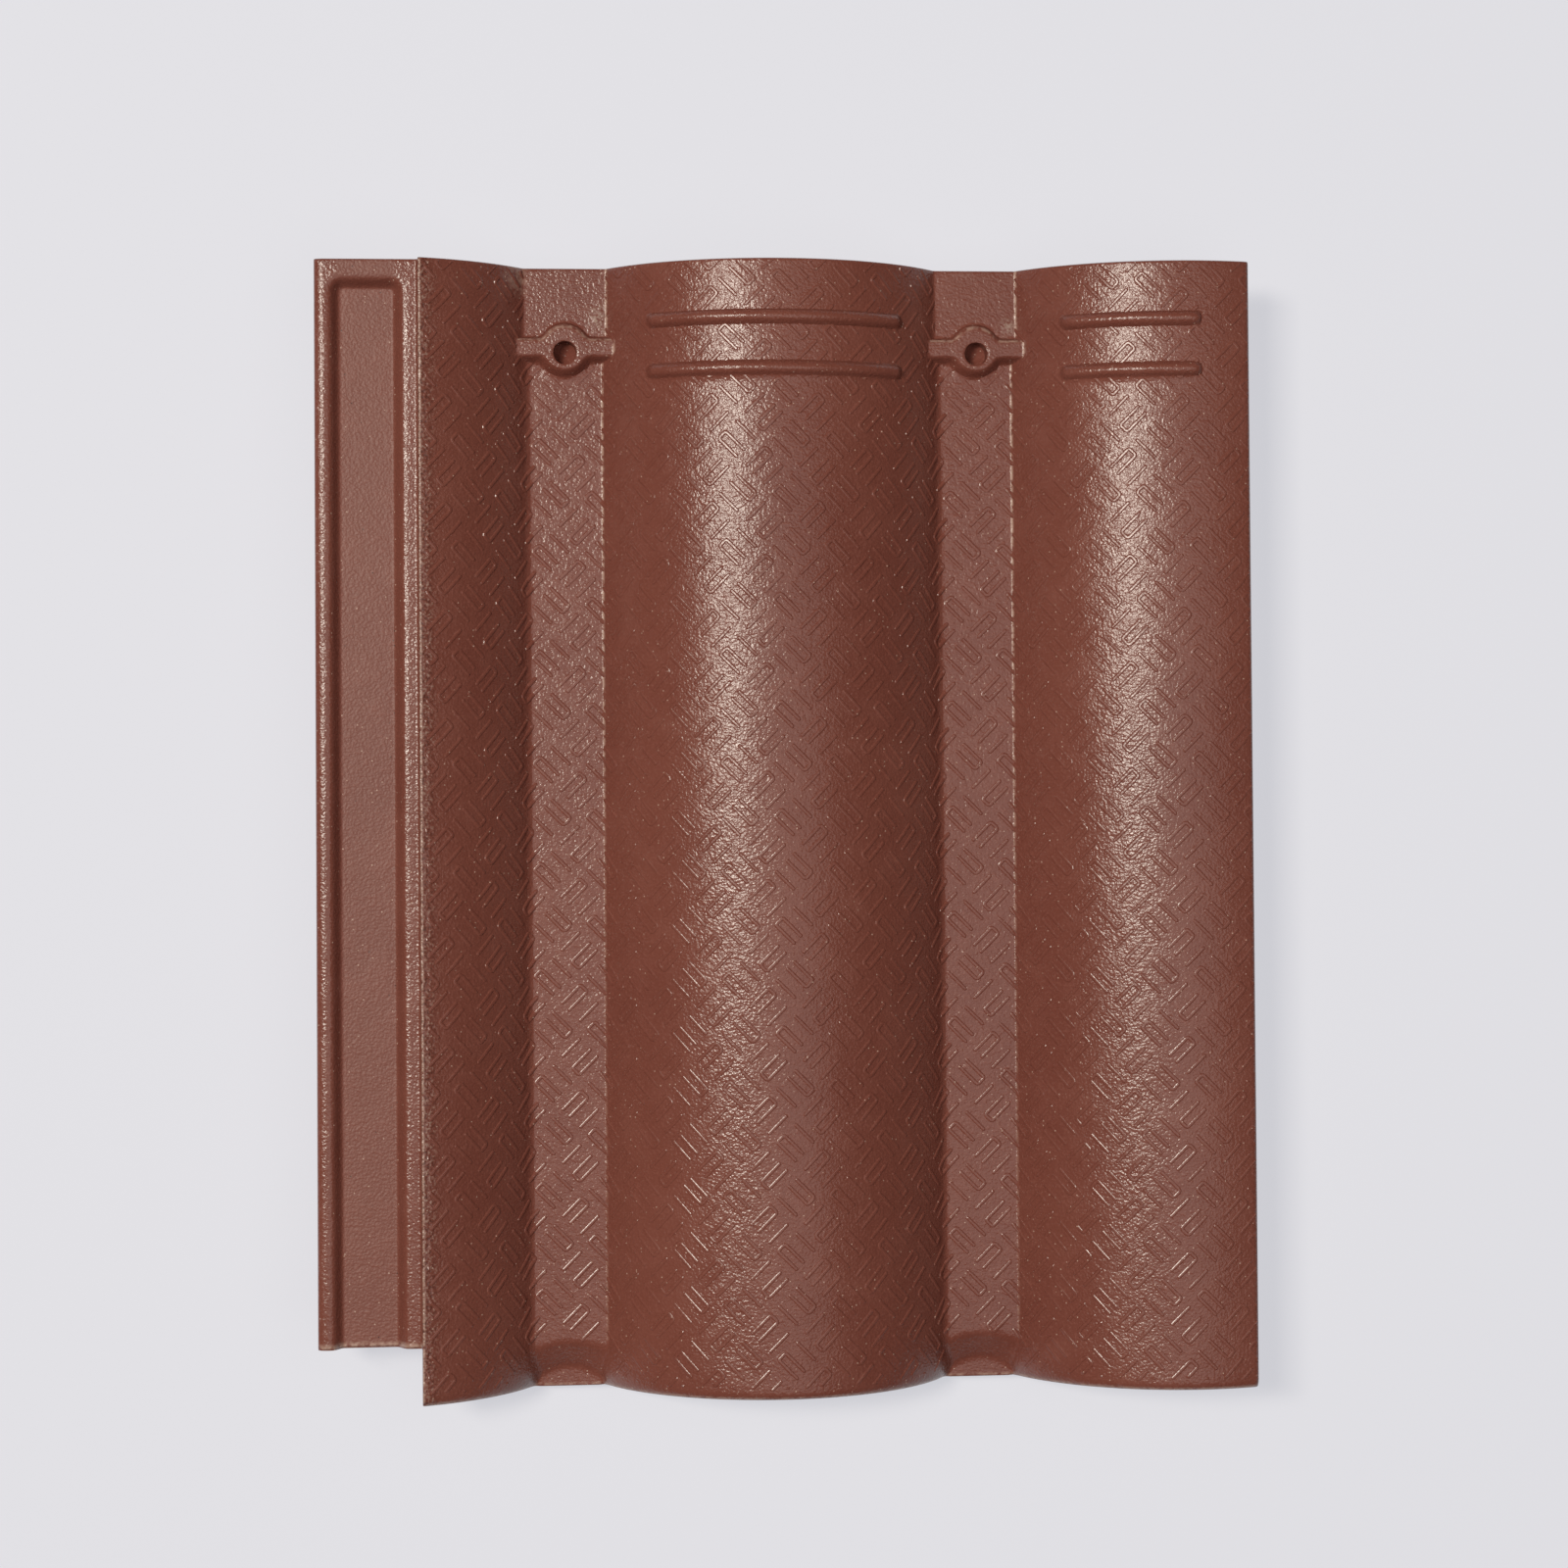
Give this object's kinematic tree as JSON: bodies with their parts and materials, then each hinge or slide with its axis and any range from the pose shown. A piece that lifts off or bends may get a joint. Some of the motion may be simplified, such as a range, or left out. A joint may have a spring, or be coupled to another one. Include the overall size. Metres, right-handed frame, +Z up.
{
  "type": "clay roof tile",
  "caption": "Profiled interlocking roof tile of fired clay, with round rolls, flat pans, a side lock channel, nail bosses, weather bars, turned-down noses and batten nibs.",
  "frame": {"origin": "on the floor under the middle of the tile's length and width, as it lies weather face up", "axes": "+X across the tile to its lapping edge, +Y along it to its head, +Z up out of the weather face"},
  "size_m": [0.3474, 0.42, 0.0565],
  "materials": {
    "tile": "satin brown-red coat over fine-grained fired clay"
  },
  "bodies": {
    "root": {"roof_tile": "tile"}
  },
  "joints": []
}
